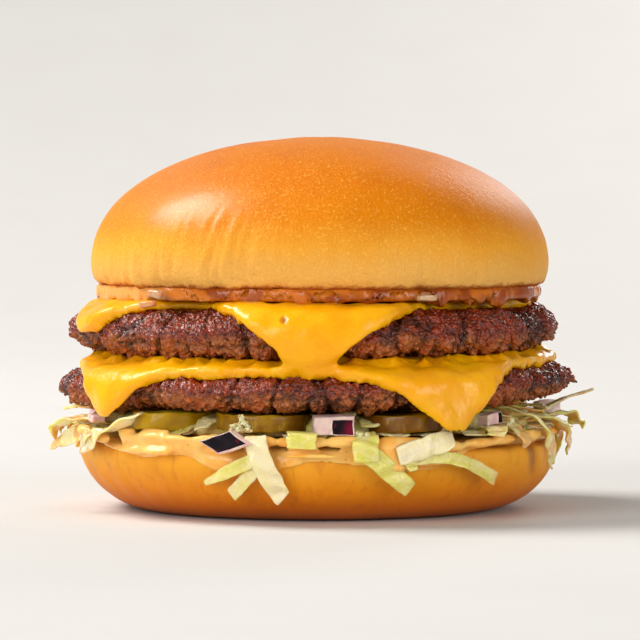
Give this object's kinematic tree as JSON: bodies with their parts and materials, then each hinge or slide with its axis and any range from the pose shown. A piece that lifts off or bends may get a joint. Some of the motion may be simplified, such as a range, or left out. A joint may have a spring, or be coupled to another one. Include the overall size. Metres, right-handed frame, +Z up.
{
  "type": "smash burger",
  "caption": "Stacked burger in a soft domed bun: thin craggy patties under draped melted cheese, with sauce, pickle chips, onion dice and shredded lettuce.",
  "frame": {"origin": "the middle of the bun's flat underside, on the axis of the bun", "axes": "+Z up through the stack, -Y to the front that the picture shows, +X to the right of that front"},
  "size_m": [0.1297, 0.1233, 0.0883],
  "materials": {
    "bun": "soft baked crust, golden brown, slightly glossy on the dome",
    "beef": "dark seared crust, craggy and moist",
    "cheese": "smooth melted cheese",
    "sauce": "creamy pink-orange sauce, wet",
    "lettuce": "crisp shredded leaf, pale green to white",
    "pickle": "olive green pickle flesh, wet",
    "onion": "white-pink onion with dark purple skin"
  },
  "bodies": {
    "root": {"bun_top": "bun", "bun_bottom": "bun", "patty_top": "beef", "patty_bottom": "beef", "cheese_top": "cheese", "cheese_bottom": "cheese", "sauce_top": "sauce", "sauce_bottom": "sauce", "lettuce": "lettuce", "pickle_1": "pickle", "pickle_2": "pickle", "pickle_3": "pickle", "pickle_4": "pickle", "pickle_5": "pickle", "pickle_6": "pickle", "onion_1": "onion", "onion_2": "onion", "onion_3": "onion", "onion_4": "onion", "onion_5": "onion", "onion_6": "onion", "onion_7": "onion", "onion_8": "onion", "onion_9": "onion", "onion_10": "onion", "onion_11": "onion"}
  },
  "joints": []
}
